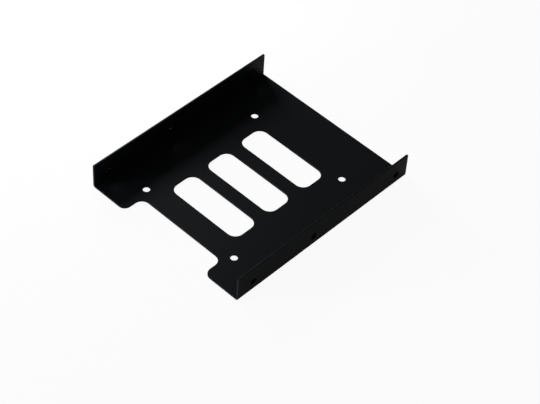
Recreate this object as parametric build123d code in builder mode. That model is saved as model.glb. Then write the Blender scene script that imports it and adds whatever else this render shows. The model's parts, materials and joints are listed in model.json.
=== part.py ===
from build123d import *
import os

# Drive bay adapter bracket. One steel sheet is punched and folded into a shallow open tray: a
# plate with an upright flange along each side. A small drive is fixed onto the plate, and the
# flanges are fixed to the sides of a larger drive bay.
# +X runs across the tray, +Y from the notched front edge to the back edge, and +Z upwards.
# The origin is on the underside of the plate, at the middle of the tray. Sizes are millimetres.

# Sheet and its folds
sheet_thickness = 1.0
inner_bend_radius = 0.5
flange_corner_radius = 0.5

# Fixing holes of the bay: three in each flange, counted from the front edge
bay_width = 101.6
bay_hole_height = 6.35
bay_hole_front_margin = 10.2
bay_hole_front_spacing = 41.6
bay_hole_back_spacing = 60.0
bay_hole_back_margin = 8.2
bay_hole_top_margin = 8.65

# Collar that the punch draws inwards round each of those holes, and its thread's outer diameter
thread_diameter = 3.5
collar_height = 1.2
collar_wall = 0.75
collar_root_radius = 0.3
collar_entry_radius = 0.2

# Clearance holes that fix the small drive
drive_hole_diameter = 3.8
drive_hole_spacing_across = 61.72
drive_hole_spacing_along = 76.6
drive_hole_front_margin = 17.5

# Notch that leaves room for the plugs of the small drive
notch_width = 56.0
notch_depth = 12.0
notch_root_radius = 4.5
notch_mouth_radius = 4.0

# Air slots behind the notch
slot_count = 3
slot_length = 46.0
slot_width = 16.0
slot_corner_radius = 5.0
slot_bar = 8.0
notch_to_slot_web = 14.0

# Worked out from the sizes above
outer_bend_radius = inner_bend_radius + sheet_thickness
half_width = bay_width / 2
flange_height = bay_hole_height + bay_hole_top_margin
bay_hole_span = bay_hole_front_spacing + bay_hole_back_spacing
tray_depth = bay_hole_front_margin + bay_hole_span + bay_hole_back_margin
front_edge = -tray_depth / 2

first_bay_hole = front_edge + bay_hole_front_margin
bay_hole_rows = (
    first_bay_hole,
    first_bay_hole + bay_hole_front_spacing,
    first_bay_hole + bay_hole_span,
)
bay_holes = [
    Location((side * half_width, row, bay_hole_height), (0, side * 90, 0))
    for side in (-1, 1)
    for row in bay_hole_rows
]
collar_reach = sheet_thickness + collar_height
collar_radius = thread_diameter / 2 + collar_wall

drive_hole_centre = front_edge + drive_hole_front_margin + drive_hole_spacing_along / 2

slot_pitch = slot_width + slot_bar
slot_row_length = slot_count * slot_pitch - slot_bar
slot_row_centre = front_edge + notch_depth + notch_to_slot_web + slot_row_length / 2

with BuildPart() as bracket:
    # Folded sheet: the outside of the section is drawn, and the sheet lies inside it
    with BuildSketch(Plane.XZ):
        with BuildLine():
            FilletPolyline(
                (-half_width, flange_height),
                (-half_width, 0),
                (half_width, 0),
                (half_width, flange_height),
                radius=outer_bend_radius,
            )
            offset(amount=sheet_thickness, side=Side.LEFT)
        make_face()
    extrude(amount=tray_depth / 2, both=True)

    # Top corners of the flanges
    top_corners = bracket.edges().filter_by(Axis.X).group_by(Axis.Z)[-1]
    fillet(top_corners, radius=flange_corner_radius)

    # Notch in the front edge, rounded at its root and at its mouth
    with BuildSketch() as notch:
        with Locations((0, front_edge)):
            Rectangle(notch_width, 2 * notch_depth)
        fillet(notch.vertices().group_by(Axis.Y)[-1], radius=notch_root_radius)
    extrude(amount=sheet_thickness, mode=Mode.SUBTRACT)
    notch_walls = bracket.edges(Select.LAST).filter_by(Axis.Z)
    fillet(notch_walls.group_by(Axis.Y)[0], radius=notch_mouth_radius)

    # Row of air slots
    with BuildSketch():
        with Locations((0, slot_row_centre)):
            with GridLocations(0, slot_pitch, 1, slot_count):
                RectangleRounded(slot_length, slot_width, slot_corner_radius)
    extrude(amount=sheet_thickness, mode=Mode.SUBTRACT)

    # Clearance holes for the small drive
    with Locations((0, drive_hole_centre, sheet_thickness)):
        with GridLocations(drive_hole_spacing_across, drive_hole_spacing_along, 2, 2):
            Hole(drive_hole_diameter / 2, depth=sheet_thickness)

    # Collars of the bay's fixing holes, drawn inwards from each flange
    with Locations(*bay_holes):
        Cylinder(
            collar_radius,
            collar_reach,
            align=(Align.CENTER, Align.CENTER, Align.MAX),
        )
    collar_circles = bracket.edges(Select.LAST).filter_by(GeomType.CIRCLE)
    collar_roots = collar_circles.group_by(lambda edge: abs(edge.center().X))[-1]
    fillet(collar_roots, radius=collar_root_radius)

    # Their bores, with the rounded entry that the punch leaves on the outside
    with Locations(*bay_holes):
        Hole(thread_diameter / 2, depth=collar_reach)
    bore_circles = bracket.edges(Select.LAST).filter_by(GeomType.CIRCLE)
    bore_entries = bore_circles.group_by(lambda edge: abs(edge.center().X))[-1]
    fillet(bore_entries, radius=collar_entry_radius)

bracket.part.label = "bracket"
os.makedirs("parts", exist_ok=True)
export_step(bracket.part, "parts/bracket.step")
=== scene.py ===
import json
import math

import bmesh
import bpy
from bpy.props import FloatProperty, FloatVectorProperty, IntProperty, PointerProperty
from mathutils import Matrix, Vector


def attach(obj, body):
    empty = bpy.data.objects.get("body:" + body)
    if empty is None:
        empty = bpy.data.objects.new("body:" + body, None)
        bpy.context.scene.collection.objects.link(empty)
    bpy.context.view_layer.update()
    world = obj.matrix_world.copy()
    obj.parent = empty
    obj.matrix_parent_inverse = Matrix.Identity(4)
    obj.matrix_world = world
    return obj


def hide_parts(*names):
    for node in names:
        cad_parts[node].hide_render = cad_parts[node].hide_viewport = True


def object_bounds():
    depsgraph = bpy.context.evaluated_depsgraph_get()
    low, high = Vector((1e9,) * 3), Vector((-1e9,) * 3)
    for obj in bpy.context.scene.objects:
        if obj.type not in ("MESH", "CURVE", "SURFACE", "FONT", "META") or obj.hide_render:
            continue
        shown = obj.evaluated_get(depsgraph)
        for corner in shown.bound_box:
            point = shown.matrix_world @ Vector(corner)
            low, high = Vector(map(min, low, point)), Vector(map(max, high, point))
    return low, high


bl_info = {
    "name": "Drive Bay Bracket",
    "version": (1, 0, 0),
    "blender": (4, 5, 0),
    "location": "View3D > Sidebar > Bracket",
    "description": "Dresses the folded drive bay bracket: rounded edges, threads, paint and studio",
    "category": "Object",
}

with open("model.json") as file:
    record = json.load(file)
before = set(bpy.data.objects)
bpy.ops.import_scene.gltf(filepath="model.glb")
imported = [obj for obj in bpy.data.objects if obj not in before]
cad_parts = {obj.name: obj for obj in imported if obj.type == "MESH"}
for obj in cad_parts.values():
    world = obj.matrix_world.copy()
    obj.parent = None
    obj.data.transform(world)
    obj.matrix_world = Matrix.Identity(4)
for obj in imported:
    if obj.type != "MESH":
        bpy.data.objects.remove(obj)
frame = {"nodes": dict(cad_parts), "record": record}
cad_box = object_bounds()
record = frame["record"]

MILLIMETRE = 0.001
WHITE = (1.0, 1.0, 1.0, 1.0)
NOISE_MIDDLE = 0.5

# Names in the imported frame
BODY = "root"
SHEET_NODE = "bracket"
PAINT_SLOT = "black_paint"
SIDE_HOLE_MOUNTS = "bay_screws"

# Masks on the sheet's faces: thin paint that is lighter as a painted highlight, and painted shade
# in the bores
THIN_PAINT_AND_HIGHLIGHT = "thin_paint_and_painted_highlight"
BORE = "bore_wall"

# Merging the CAD sheet's triangles
MERGE_DISTANCE = 0.001 * MILLIMETRE
FLAT_ANGLE = math.radians(0.5)

# Telling the sheet's faces apart
PLACE_DIGITS = 6  # decimals of a metre to which a hole's place is rounded
BORE_TOLERANCE = 0.05 * MILLIMETRE  # how far outside its radius a bore's wall may lie
FOLD_RADIUS = 1.5 * MILLIMETRE  # outside of the folds
CUT_WALL_SLANT = 0.2  # a cut wall's normal has less than this through the sheet's thickness
FOLD_END_SLANT = 0.8  # the normal of a fold's cut end has more than this along the depth

# Paint over the edges, thin there and lighter as a painted highlight
EDGE_ROUGHNESS_SHARE = 0.75  # of the roughness on the flat faces
EDGE_PATCHES_PER_METRE = 1500.0
LEAST_THIN_PAINT_AND_HIGHLIGHT = 0.4  # share of the thinning that is left where the noise is lowest

# Threads
ROOT_HALF_WIDTH = 0.44  # of a pitch
CREST_HALF_WIDTH = 0.07  # of a pitch
RUNOUT = 0.05  # of a pitch, past each end before it is cut
ROOT_SINK = 0.03 * MILLIMETRE  # depth of the ridge's root inside the bore's wall
CUT_TOLERANCE = 0.0001 * MILLIMETRE
START_TURN = math.radians(137.5)  # from one thread's start to the next one's

# Floor and camera
FLOOR_REACH = 4.0  # metres from the middle to each side
FLOOR_GAP = 0.05 * MILLIMETRE
SENSOR_WIDTH = 36.0  # millimetres
NEAREST_SEEN = 0.05  # metres
FARTHEST_SEEN = 20.0  # metres


def recorded_paint():
    """The paint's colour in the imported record, with an alpha of 1."""
    found = next(m for m in record["materials"] if m["slot"] == PAINT_SLOT)
    return (*found["base_color"], 1.0)


def side_hole_places():
    """Centre of each tapped hole in the flanges, on the outer face."""
    places = set()
    for mount in record["mounts"]:
        if not mount["name"].startswith(SIDE_HOLE_MOUNTS):
            continue
        x, y, z = mount["pos_m"]
        reach = mount["dims"]["spacing_x_mm"] * MILLIMETRE / 2
        for row in (y - reach, y + reach):
            places.add(tuple(round(value, PLACE_DIGITS) for value in (x, row, z)))
    return sorted(places)


def side_hole_radius():
    """Radius of the tapped holes at the outside of their thread."""
    found = next(m for m in record["mounts"] if m["name"].startswith(SIDE_HOLE_MOUNTS))
    return found["dims"]["hole_r_mm"] * MILLIMETRE


def is_in_bore(face, places, reach):
    """Whether a face lies within reach of the axis of one of the holes at the given places."""
    centre = face.calc_center_median()
    return any(
        math.hypot(centre.y - y, centre.z - z) < reach and centre.x * x > 0
        for x, y, z in places
    )


def is_cut_wall(face):
    """Whether a face of the sheet lies across its thickness, where it was punched or sheared."""
    centre, normal = face.calc_center_median(), face.normal
    inset = cad_box[1][0] - abs(centre.x)
    if inset > FOLD_RADIUS:
        return abs(normal.z) < CUT_WALL_SLANT
    if centre.z > FOLD_RADIUS:
        return abs(normal.x) < CUT_WALL_SLANT
    return abs(normal.y) > FOLD_END_SLANT


# Settings that a user would change


class SheetSettings(bpy.types.PropertyGroup):
    """The folded sheet's edges."""

    edge_radius: FloatProperty(
        name="Edge Radius",
        description="Radius of each punched edge under its paint",
        default=0.13 * MILLIMETRE,
        min=0.02 * MILLIMETRE,
        max=0.3 * MILLIMETRE,
        precision=5,
        unit="LENGTH",
    )
    edge_steps: IntProperty(
        name="Edge Steps",
        description="Facets across each rounded edge",
        default=3,
        min=1,
        max=6,
    )
    # Lightens the cut walls' paint as a painted highlight, where it is also thin
    wall_thin_paint_and_highlight: FloatProperty(
        name="Wall Thinning",
        description="How far the paint thins on the cut walls, where a rounded edge has 1",
        default=0.3,
        min=0.0,
        max=1.0,
        subtype="FACTOR",
    )
    sharp_angle: FloatProperty(
        name="Sharp Angle",
        description="Edges that turn by more than this are rounded",
        default=math.radians(35),
        min=math.radians(15),
        max=math.radians(80),
        subtype="ANGLE",
    )


class ThreadSettings(bpy.types.PropertyGroup):
    """The threads in the flanges' six holes."""

    pitch: FloatProperty(
        name="Pitch",
        description="Advance of the thread in one turn",
        default=0.794 * MILLIMETRE,
        min=0.3 * MILLIMETRE,
        max=1.5 * MILLIMETRE,
        precision=5,
        unit="LENGTH",
    )
    depth: FloatProperty(
        name="Depth",
        description="Height of the thread's ridge above the bore",
        default=0.34 * MILLIMETRE,
        min=0.05 * MILLIMETRE,
        max=0.8 * MILLIMETRE,
        precision=5,
        unit="LENGTH",
    )
    inset: FloatProperty(
        name="Inset",
        description="Distance from the flange's outer face to the start of the thread",
        default=0.22 * MILLIMETRE,
        min=0.0,
        max=1.0 * MILLIMETRE,
        precision=5,
        unit="LENGTH",
    )
    length: FloatProperty(
        name="Length",
        description="Length of the threaded part of the bore",
        default=1.85 * MILLIMETRE,
        min=0.5 * MILLIMETRE,
        max=4.0 * MILLIMETRE,
        precision=5,
        unit="LENGTH",
    )
    steps: IntProperty(
        name="Steps",
        description="Facets in one turn of the thread",
        default=36,
        min=12,
        max=96,
    )


class PaintSettings(bpy.types.PropertyGroup):
    """The black powder paint."""

    colour: FloatVectorProperty(
        name="Colour",
        description="Colour of the paint",
        subtype="COLOR",
        size=4,
        min=0.0,
        max=1.0,
        default=recorded_paint(),
    )
    roughness: FloatProperty(
        name="Roughness",
        description="Roughness of the paint on the flat faces",
        default=0.46,
        min=0.0,
        max=1.0,
        subtype="FACTOR",
    )
    gloss: FloatProperty(
        name="Gloss",
        description="Strength of the paint's reflections",
        default=0.05,
        min=0.0,
        max=1.0,
        subtype="FACTOR",
    )
    # Darkens the paint in the bores and on the threads as painted shade
    bore_shade: FloatProperty(
        name="Bore Shade",
        description="Share of the paint's colour that is left inside the bores",
        default=0.3,
        min=0.0,
        max=1.0,
        subtype="FACTOR",
    )
    bore_roughness: FloatProperty(
        name="Bore Roughness",
        description="Roughness of the thin paint inside the bores",
        default=0.9,
        min=0.0,
        max=1.0,
        subtype="FACTOR",
    )
    bore_gloss: FloatProperty(
        name="Bore Gloss",
        description="Strength of the reflections inside the bores",
        default=0.01,
        min=0.0,
        max=1.0,
        subtype="FACTOR",
    )
    # Lightens the paint on the edges as a painted highlight, where it is also thin
    edge_highlight_lightening: FloatProperty(
        name="Edge Lightening",
        description="How much lighter the paint is where it thins over an edge",
        default=1.5,
        min=1.0,
        max=10.0,
    )
    peel_size: FloatProperty(
        name="Peel Size",
        description="Distance between the soft waves of the paint",
        default=1.1 * MILLIMETRE,
        min=0.1 * MILLIMETRE,
        max=5.0 * MILLIMETRE,
        precision=5,
        unit="LENGTH",
    )
    grain_size: FloatProperty(
        name="Grain Size",
        description="Distance between the fine grains of the paint",
        default=0.16 * MILLIMETRE,
        min=0.02 * MILLIMETRE,
        max=1.0 * MILLIMETRE,
        precision=5,
        unit="LENGTH",
    )
    mottle: FloatProperty(
        name="Mottle",
        description="Strength of the light and dark specks in the paint",
        default=0.8,
        min=0.0,
        max=2.0,
    )
    relief: FloatProperty(
        name="Relief",
        description="Height of the paint's waves and grains",
        default=0.012 * MILLIMETRE,
        min=0.0,
        max=0.05 * MILLIMETRE,
        precision=6,
        unit="LENGTH",
    )


class StageSettings(bpy.types.PropertyGroup):
    """Floor, light and camera."""

    floor_colour: FloatVectorProperty(
        name="Floor Colour",
        description="Colour of the floor",
        subtype="COLOR",
        size=4,
        min=0.0,
        max=1.0,
        default=(0.9, 0.9, 0.9, 1.0),
    )
    floor_white: FloatProperty(
        name="Floor White",
        description="Share of plain white in what the camera sees of the floor",
        default=0.94,
        min=0.0,
        max=1.0,
        subtype="FACTOR",
    )
    reflected_white: FloatProperty(
        name="Reflected White",
        description="Share of plain white in what reflections see of the floor",
        default=0.22,
        min=0.0,
        max=1.0,
        subtype="FACTOR",
    )
    room: FloatProperty(
        name="Room",
        description="Brightness of the white room round the floor",
        default=0.12,
        min=0.0,
        max=2.0,
    )
    key_energy: FloatProperty(
        name="Key Energy",
        description="Power of the soft lamp beside the left flange",
        default=2.15,
        min=0.0,
        max=100.0,
        unit="POWER",
    )
    key_width: FloatProperty(
        name="Key Width",
        description="Width of the soft lamp",
        default=0.25,
        min=0.01,
        unit="LENGTH",
    )
    key_height: FloatProperty(
        name="Key Height",
        description="Height of the soft lamp",
        default=0.22,
        min=0.01,
        unit="LENGTH",
    )
    key_place: FloatVectorProperty(
        name="Key Place",
        description="Middle of the soft lamp",
        default=(-0.31, 0.05, 0.092),
        precision=4,
        subtype="XYZ",
        unit="LENGTH",
    )
    fill_energy: FloatProperty(
        name="Fill Energy",
        description="Power of the small lamp in front, on the left",
        default=4.2,
        min=0.0,
        max=100.0,
        unit="POWER",
    )
    fill_size: FloatProperty(
        name="Fill Size",
        description="Width and height of the small lamp",
        default=0.1,
        min=0.01,
        unit="LENGTH",
    )
    fill_place: FloatVectorProperty(
        name="Fill Place",
        description="Middle of the small lamp",
        default=(-0.3, -0.5, 0.05),
        precision=4,
        subtype="XYZ",
        unit="LENGTH",
    )
    azimuth: FloatProperty(
        name="Azimuth",
        description="Direction of the camera round the bracket, from its front towards its right",
        default=math.radians(41.2558),
        subtype="ANGLE",
    )
    elevation: FloatProperty(
        name="Elevation",
        description="Height of the camera above the horizon",
        default=math.radians(47.0816),
        subtype="ANGLE",
    )
    roll: FloatProperty(
        name="Roll",
        description="Turn of the camera about its own line of sight",
        default=math.radians(4.1808),
        subtype="ANGLE",
    )
    distance: FloatProperty(
        name="Distance",
        description="Distance from the camera to the point it looks at",
        default=0.88248,
        min=0.1,
        unit="LENGTH",
    )
    aim: FloatVectorProperty(
        name="Aim",
        description="Point on the floor that the camera looks at",
        default=(16.678 * MILLIMETRE, -3.174 * MILLIMETRE, 0.0),
        precision=5,
        subtype="XYZ",
        unit="LENGTH",
    )
    lens: FloatProperty(
        name="Lens",
        description="Focal length of the camera in millimetres",
        default=118.528,
        min=10.0,
    )


SETTINGS = {
    "bracket_sheet": SheetSettings,
    "bracket_threads": ThreadSettings,
    "bracket_paint": PaintSettings,
    "bracket_stage": StageSettings,
}


# Shared node groups


def new_group(name, inputs, outputs):
    """An empty shader node group with the given sockets, its input node and its output node."""
    group = bpy.data.node_groups.new(name, "ShaderNodeTree")
    for socket, kind, default in inputs:
        made = group.interface.new_socket(name=socket, in_out="INPUT", socket_type=kind)
        if default is not None:
            made.default_value = default
    for socket, kind in outputs:
        group.interface.new_socket(name=socket, in_out="OUTPUT", socket_type=kind)
    return group, group.nodes.new("NodeGroupInput"), group.nodes.new("NodeGroupOutput")


def feed(tree, socket, value):
    """Gives an input a number, or a link from another node's output."""
    if isinstance(value, (int, float)):
        socket.default_value = value
    else:
        tree.links.new(value, socket)


def math_node(tree, operation, first, second):
    """Output of a math node whose inputs are numbers or other nodes' outputs."""
    node = tree.nodes.new("ShaderNodeMath")
    node.operation = operation
    feed(tree, node.inputs[0], first)
    feed(tree, node.inputs[1], second)
    return node.outputs[0]


def mix_node(tree, kind, mask, first, second):
    """Output of a mix node of the given data type, between two other nodes' outputs."""
    node = tree.nodes.new("ShaderNodeMix")
    node.data_type = kind
    sockets = [s for s in node.inputs if s.enabled]
    for socket, value in zip(sockets, (mask, first, second)):
        tree.links.new(value, socket)
    return next(s for s in node.outputs if s.enabled)


def noise_node(tree, position, rate, detail, roughness=0.5):
    """Output of a noise over a position, whose rate is a number or another node's output."""
    node = tree.nodes.new("ShaderNodeTexNoise")
    node.inputs["Detail"].default_value = detail
    node.inputs["Roughness"].default_value = roughness
    tree.links.new(position, node.inputs["Vector"])
    feed(tree, node.inputs["Scale"], rate)
    return node.outputs["Fac"]


def noise_about_zero(tree, position, rate, detail, strength):
    """A noise moved to have its middle at zero, times a strength."""
    noise = noise_node(tree, position, rate, detail)
    centred = math_node(tree, "SUBTRACT", noise, NOISE_MIDDLE)
    return math_node(tree, "MULTIPLY", centred, strength)


def group_node(tree, group, values):
    """A node that holds a shader node group, with the given values on its inputs."""
    node = tree.nodes.new("ShaderNodeGroup")
    node.node_tree = group
    for socket, value in values.items():
        node.inputs[socket].default_value = value
    return node


def paint_relief_group():
    """Waves and grains of sprayed and baked powder, as one height."""
    if "paint_relief" in bpy.data.node_groups:
        return bpy.data.node_groups["paint_relief"]
    group, entry, exit_node = new_group(
        "paint_relief",
        [
            ("Position", "NodeSocketVector", None),
            ("Waves per Metre", "NodeSocketFloat", 900.0),
            ("Grains per Metre", "NodeSocketFloat", 6000.0),
            ("Grain Share", "NodeSocketFloat", 0.35),
        ],
        [("Height", "NodeSocketFloat")],
    )
    given = entry.outputs
    waves = noise_node(
        group, given["Position"], given["Waves per Metre"], detail=1.0, roughness=0.4
    )
    grains = noise_node(
        group, given["Position"], given["Grains per Metre"], detail=2.0, roughness=0.6
    )
    grains = math_node(group, "MULTIPLY", grains, given["Grain Share"])
    height = math_node(group, "ADD", waves, grains)
    group.links.new(height, exit_node.inputs["Height"])
    return group


def paint_tone_group():
    """Colour and roughness of the paint: patches, specks, thin paint on edges made lighter as a
    painted highlight, and painted shade in the bores.
    """
    if "paint_tone" in bpy.data.node_groups:
        return bpy.data.node_groups["paint_tone"]
    group, entry, exit_node = new_group(
        "paint_tone",
        [
            ("Position", "NodeSocketVector", None),
            ("Colour", "NodeSocketColor", None),
            ("Edge Colour", "NodeSocketColor", None),
            ("Roughness", "NodeSocketFloat", 0.5),
            ("Edge Roughness", "NodeSocketFloat", 0.4),
            ("Edge", "NodeSocketFloat", 0.0),
            ("Bore Colour", "NodeSocketColor", None),
            ("Bore Roughness", "NodeSocketFloat", 0.9),
            ("Bore", "NodeSocketFloat", 0.0),
            ("Patches per Metre", "NodeSocketFloat", 60.0),
            ("Spread", "NodeSocketFloat", 0.08),
            ("Specks per Metre", "NodeSocketFloat", 6000.0),
            ("Mottle", "NodeSocketFloat", 0.5),
        ],
        [("Colour", "NodeSocketColor"), ("Roughness", "NodeSocketFloat")],
    )
    links, given = group.links, entry.outputs
    patches = noise_about_zero(
        group, given["Position"], given["Patches per Metre"], detail=3.0, strength=given["Spread"]
    )
    specks = noise_about_zero(
        group, given["Position"], given["Specks per Metre"], detail=3.0, strength=given["Mottle"]
    )
    # Uneven mask for the edges' thin paint and painted highlight
    uneven = noise_node(group, given["Position"], EDGE_PATCHES_PER_METRE, detail=4.0)
    uneven = math_node(group, "ADD", uneven, LEAST_THIN_PAINT_AND_HIGHLIGHT)
    thin_and_highlit = math_node(group, "MULTIPLY", given["Edge"], uneven)
    thin_and_highlit.node.use_clamp = True

    # Edges get a lighter colour as a painted highlight, bores a darker one as painted shade
    tint = given["Colour"]
    rough = math_node(group, "ADD", given["Roughness"], patches)
    for place, mask in (("Edge", thin_and_highlit), ("Bore", given["Bore"])):
        tint = mix_node(group, "RGBA", mask, tint, given[place + " Colour"])
        rough = mix_node(group, "FLOAT", mask, rough, given[place + " Roughness"])
    speckled = group.nodes.new("ShaderNodeVectorMath")
    speckled.operation = "SCALE"
    links.new(tint, speckled.inputs["Vector"])
    links.new(math_node(group, "ADD", specks, 1.0), speckled.inputs["Scale"])
    links.new(speckled.outputs["Vector"], exit_node.inputs["Colour"])
    links.new(rough, exit_node.inputs["Roughness"])
    return group


def shaded(colour, share):
    """A share of a colour, with an alpha of 1."""
    return (*(share * channel for channel in colour[:3]), 1.0)


def paint_material(name, relief_share, on_sheet):
    """Satin black powder paint, duller where little of it gets into a bore, and darker there as
    painted shade.
    """
    paint = bpy.context.scene.bracket_paint
    material = bpy.data.materials.new(name)
    material.use_nodes = True
    material.diffuse_color = paint.colour
    tree = material.node_tree
    nodes, links = tree.nodes, tree.links
    shader = next(n for n in nodes if n.type == "BSDF_PRINCIPLED")
    gloss = paint.gloss if on_sheet else paint.bore_gloss
    shader.inputs["Specular IOR Level"].default_value = gloss
    place = nodes.new("ShaderNodeTexCoord")

    relief = group_node(
        tree,
        paint_relief_group(),
        {"Waves per Metre": 1 / paint.peel_size, "Grains per Metre": 1 / paint.grain_size},
    )
    bump = nodes.new("ShaderNodeBump")
    bump.inputs["Distance"].default_value = paint.relief * relief_share
    links.new(place.outputs["Object"], relief.inputs["Position"])
    links.new(relief.outputs["Height"], bump.inputs["Height"])
    links.new(bump.outputs["Normal"], shader.inputs["Normal"])

    tone = group_node(
        tree,
        paint_tone_group(),
        {
            # Edge Colour is a painted highlight, Bore Colour is painted shade
            "Colour": shaded(paint.colour, 1.0),
            "Edge Colour": shaded(paint.colour, paint.edge_highlight_lightening),
            "Bore Colour": shaded(paint.colour, paint.bore_shade),
            "Roughness": paint.roughness,
            "Edge Roughness": EDGE_ROUGHNESS_SHARE * paint.roughness,
            "Bore Roughness": paint.bore_roughness,
            "Specks per Metre": 1 / paint.grain_size,
            "Mottle": paint.mottle,
        },
    )
    links.new(place.outputs["Object"], tone.inputs["Position"])
    links.new(tone.outputs["Colour"], shader.inputs["Base Color"])
    if on_sheet:
        for socket, layer in (("Edge", THIN_PAINT_AND_HIGHLIGHT), ("Bore", BORE)):
            mask = nodes.new("ShaderNodeAttribute")
            mask.attribute_name = layer
            links.new(mask.outputs["Fac"], tone.inputs[socket])
        links.new(tone.outputs["Roughness"], shader.inputs["Roughness"])
    else:
        # The threads lie wholly inside the bores, so they have one roughness and the bores' painted
        # shade all over
        tone.inputs["Bore"].default_value = 1.0
        shader.inputs["Roughness"].default_value = paint.bore_roughness
    return material


# Pieces


def require_closed(bm, name):
    """Raises an error where an edge isn't between two faces."""
    if any(len(edge.link_faces) != 2 for edge in bm.edges):
        raise RuntimeError(f"{name} isn't closed")


def finish_piece(bm, name, material):
    """Turns a bmesh into a smooth painted piece, which rides on the body."""
    for face in bm.faces:
        face.smooth = True
    mesh = bpy.data.meshes.new(name)
    bm.to_mesh(mesh)
    bm.free()
    mesh.materials.append(material)
    piece = bpy.data.objects.new(name, mesh)
    bpy.context.scene.collection.objects.link(piece)
    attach(piece, BODY)
    flatten = piece.modifiers.new("flat_face_normals", "WEIGHTED_NORMAL")
    flatten.keep_sharp = False
    return piece


def merged_sheet():
    """Copy of the CAD sheet, with its loose triangles merged into whole faces."""
    bm = bmesh.new()
    bm.from_mesh(frame["nodes"][SHEET_NODE].data)
    bmesh.ops.remove_doubles(bm, verts=bm.verts, dist=MERGE_DISTANCE)
    bmesh.ops.dissolve_limit(bm, angle_limit=FLAT_ANGLE, verts=bm.verts, edges=bm.edges)
    require_closed(bm, "the merged sheet")
    return bm


class BRACKET_OT_folded_sheet(bpy.types.Operator):
    """Build the folded sheet with rounded edges, in place of the CAD sheet"""

    bl_idname = "bracket.folded_sheet"
    bl_label = "Folded Sheet"
    bl_options = {"REGISTER", "UNDO"}

    def execute(self, context):
        settings = context.scene.bracket_sheet
        bm = merged_sheet()
        thin_paint_and_highlight = bm.faces.layers.float.new(THIN_PAINT_AND_HIGHLIGHT)
        # Cut walls and rounded edges get thin paint, made lighter as a painted highlight
        for face in bm.faces:
            if is_cut_wall(face):
                face[thin_paint_and_highlight] = settings.wall_thin_paint_and_highlight
        sharp = [e for e in bm.edges if e.calc_face_angle() > settings.sharp_angle]
        rounded = bmesh.ops.bevel(
            bm,
            geom=sharp,
            offset=settings.edge_radius,
            offset_type="OFFSET",
            segments=settings.edge_steps,
            profile=0.5,
            affect="EDGES",
            material=-1,
            clamp_overlap=False,
        )
        for face in rounded["faces"]:
            face[thin_paint_and_highlight] = 1.0
        # Faces in the bores get darker paint as painted shade
        bore = bm.faces.layers.float.new(BORE)
        places = side_hole_places()
        reach = side_hole_radius() + BORE_TOLERANCE
        for face in bm.faces:
            if is_in_bore(face, places, reach):
                face[bore] = 1.0
        material = paint_material("black_powder_paint", relief_share=1.0, on_sheet=True)
        sheet = finish_piece(bm, "folded_sheet", material)
        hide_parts(SHEET_NODE)
        return {"FINISHED"}


def thread_ridge(settings, bore_radius):
    """One right-hand thread round the X axis, from the flange's outer face at zero inwards."""
    bm = bmesh.new()
    root_half = ROOT_HALF_WIDTH * settings.pitch
    crest_half = CREST_HALF_WIDTH * settings.pitch
    root = bore_radius + ROOT_SINK
    crest = bore_radius - settings.depth
    runout = root_half + RUNOUT * settings.pitch
    start, stop = -settings.inset, -settings.inset - settings.length
    steps = math.ceil((settings.length + 2 * runout) / settings.pitch * settings.steps)
    profile = [
        bm.verts.new((start + runout + along, 0.0, radius))
        for along, radius in (
            (root_half, root),
            (crest_half, crest),
            (-crest_half, crest),
            (-root_half, root),
        )
    ]
    face = bm.faces.new(profile)
    bmesh.ops.spin(
        bm,
        geom=[face, *face.edges, *face.verts],
        cent=(0.0, 0.0, 0.0),
        axis=(-1.0, 0.0, 0.0),
        dvec=(-settings.pitch / settings.steps, 0.0, 0.0),
        angle=math.tau * steps / settings.steps,
        steps=steps,
        use_merge=False,
        use_duplicate=False,
    )
    for along, outward in ((start, 1.0), (stop, -1.0)):
        bmesh.ops.bisect_plane(
            bm,
            geom=[*bm.verts, *bm.edges, *bm.faces],
            dist=CUT_TOLERANCE,
            plane_co=(along, 0.0, 0.0),
            plane_no=(outward, 0.0, 0.0),
            clear_outer=True,
        )
        rim = [edge for edge in bm.edges if edge.is_boundary]
        bmesh.ops.holes_fill(bm, edges=rim, sides=0)
    bmesh.ops.remove_doubles(bm, verts=bm.verts, dist=CUT_TOLERANCE)
    bmesh.ops.recalc_face_normals(bm, faces=bm.faces)
    require_closed(bm, "a thread")
    return bm


class BRACKET_OT_tapped_threads(bpy.types.Operator):
    """Build the threads inside the flanges' tapped holes"""

    bl_idname = "bracket.tapped_threads"
    bl_label = "Tapped Threads"
    bl_options = {"REGISTER", "UNDO"}

    def execute(self, context):
        settings = context.scene.bracket_threads
        places = side_hole_places()
        if not places:
            raise RuntimeError("the record has no holes in the flanges")
        bm = bmesh.new()
        for number, place in enumerate(places):
            ridge = thread_ridge(settings, side_hole_radius())
            side = Matrix.Rotation(0.0 if place[0] > 0 else math.pi, 4, "Z")
            start = Matrix.Rotation(START_TURN * number, 4, "X")
            ridge.transform(Matrix.Translation(place) @ side @ start)
            part = bpy.data.meshes.new("ridge")
            ridge.to_mesh(part)
            ridge.free()
            bm.from_mesh(part)
            bpy.data.meshes.remove(part)
        # The threads' paint is darker all over as painted shade
        material = paint_material("thread_paint", relief_share=0.4, on_sheet=False)
        finish_piece(bm, "tapped_threads", material)
        return {"FINISHED"}


# Stage


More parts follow.
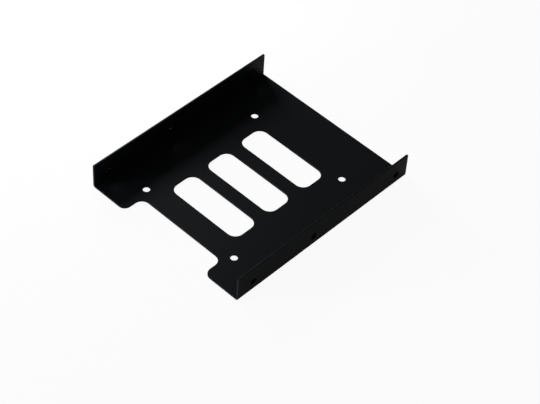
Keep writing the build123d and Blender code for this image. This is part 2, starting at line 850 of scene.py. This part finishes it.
def floor_material(stage):
    """Pale floor that keeps its shadows, part plain white to the camera and in reflections."""
    material = bpy.data.materials.new("pale_floor")
    material.use_nodes = True
    tree = material.node_tree
    nodes, links = tree.nodes, tree.links
    nodes.clear()
    output = nodes.new("ShaderNodeOutputMaterial")
    diffuse = nodes.new("ShaderNodeBsdfDiffuse")
    diffuse.inputs["Color"].default_value = stage.floor_colour
    white = nodes.new("ShaderNodeEmission")
    white.inputs["Color"].default_value = WHITE
    white.inputs["Strength"].default_value = 1.0
    rays = nodes.new("ShaderNodeLightPath").outputs
    mirrored = math_node(tree, "ADD", rays["Is Glossy Ray"], rays["Is Transmission Ray"])
    mirrored = math_node(tree, "MULTIPLY", mirrored, stage.reflected_white)
    direct = math_node(tree, "MULTIPLY", rays["Is Camera Ray"], stage.floor_white)
    share = math_node(tree, "ADD", direct, mirrored)
    share.node.use_clamp = True
    mix = nodes.new("ShaderNodeMixShader")
    links.new(share, mix.inputs["Fac"])
    links.new(diffuse.outputs[0], mix.inputs[1])
    links.new(white.outputs[0], mix.inputs[2])
    links.new(mix.outputs[0], output.inputs["Surface"])
    return material


def add_floor(stage):
    """Level floor, a hair below the bracket's underside."""
    bm = bmesh.new()
    bmesh.ops.create_grid(bm, x_segments=1, y_segments=1, size=FLOOR_REACH)
    bmesh.ops.translate(bm, verts=bm.verts, vec=(0, 0, -FLOOR_GAP))
    mesh = bpy.data.meshes.new("floor")
    bm.to_mesh(mesh)
    bm.free()
    mesh.materials.append(floor_material(stage))
    floor = bpy.data.objects.new("floor", mesh)
    bpy.context.scene.collection.objects.link(floor)


def room_light(stage):
    """Dim white room on all sides."""
    world = bpy.data.worlds.new("white_room")
    bpy.context.scene.world = world
    world.use_nodes = True
    background = next(n for n in world.node_tree.nodes if n.type == "BACKGROUND")
    background.inputs["Color"].default_value = WHITE
    background.inputs["Strength"].default_value = stage.room


def soft_lamp(name, place, width, height, energy):
    """A rectangular area lamp that faces the bracket."""
    lamp = bpy.data.lights.new(name, "AREA")
    lamp.shape = "RECTANGLE"
    lamp.size = width
    lamp.size_y = height
    lamp.energy = energy
    holder = bpy.data.objects.new(name, lamp)
    holder.visible_camera = False
    facing = Vector(place).to_track_quat("Z", "Y").to_matrix().to_4x4()
    holder.matrix_world = Matrix.Translation(place) @ facing
    bpy.context.scene.collection.objects.link(holder)


def add_camera(stage):
    """The camera, at the photograph's viewing angle."""
    azimuth, elevation = stage.azimuth, stage.elevation
    back = Vector(
        (
            math.sin(azimuth) * math.cos(elevation),
            -math.cos(azimuth) * math.cos(elevation),
            math.sin(elevation),
        )
    )
    right = Vector((math.cos(azimuth), math.sin(azimuth), 0.0))
    up = back.cross(right)
    turned = Matrix((right, up, back)).transposed().to_4x4()
    turned = turned @ Matrix.Rotation(stage.roll, 4, "Z")
    data = bpy.data.cameras.new("camera")
    data.sensor_fit = "HORIZONTAL"
    data.sensor_width = SENSOR_WIDTH
    data.lens = stage.lens
    data.clip_start = NEAREST_SEEN
    data.clip_end = FARTHEST_SEEN
    camera = bpy.data.objects.new("camera", data)
    place = Vector(stage.aim) + back * stage.distance
    camera.matrix_world = Matrix.Translation(place) @ turned
    bpy.context.scene.collection.objects.link(camera)
    bpy.context.scene.camera = camera


class BRACKET_OT_stage(bpy.types.Operator):
    """Set up the pale floor, the soft light and the camera"""

    bl_idname = "bracket.stage"
    bl_label = "Stage"
    bl_options = {"REGISTER", "UNDO"}

    def execute(self, context):
        stage = context.scene.bracket_stage
        add_floor(stage)
        room_light(stage)
        soft_lamp(
            "key_lamp", stage.key_place, stage.key_width, stage.key_height, stage.key_energy
        )
        soft_lamp(
            "fill_lamp", stage.fill_place, stage.fill_size, stage.fill_size, stage.fill_energy
        )
        add_camera(stage)
        context.scene.view_settings.view_transform = "Standard"
        return {"FINISHED"}


class BRACKET_PT_panel(bpy.types.Panel):
    """Builds the bracket's pieces and its stage"""

    bl_idname = "BRACKET_PT_panel"
    bl_label = "Drive Bay Bracket"
    bl_space_type = "VIEW_3D"
    bl_region_type = "UI"
    bl_category = "Bracket"

    def draw(self, context):
        layout = self.layout
        for name, operator in (
            ("bracket_paint", None),
            ("bracket_sheet", "bracket.folded_sheet"),
            ("bracket_threads", "bracket.tapped_threads"),
            ("bracket_stage", "bracket.stage"),
        ):
            box = layout.box()
            settings = getattr(context.scene, name)
            for key in settings.bl_rna.properties.keys():
                if key not in {"rna_type", "name"}:
                    box.prop(settings, key)
            if operator:
                box.operator(operator)


CLASSES = (
    *SETTINGS.values(),
    BRACKET_OT_folded_sheet,
    BRACKET_OT_tapped_threads,
    BRACKET_OT_stage,
    BRACKET_PT_panel,
)


def register():
    for cls in CLASSES:
        bpy.utils.register_class(cls)
    for name, cls in SETTINGS.items():
        setattr(bpy.types.Scene, name, PointerProperty(type=cls))


def unregister():
    for name in SETTINGS:
        delattr(bpy.types.Scene, name)
    for cls in reversed(CLASSES):
        bpy.utils.unregister_class(cls)


def main():
    register()
    bpy.ops.bracket.folded_sheet()
    bpy.ops.bracket.tapped_threads()
    bpy.ops.bracket.stage()


if __name__ == "__main__":
    main()
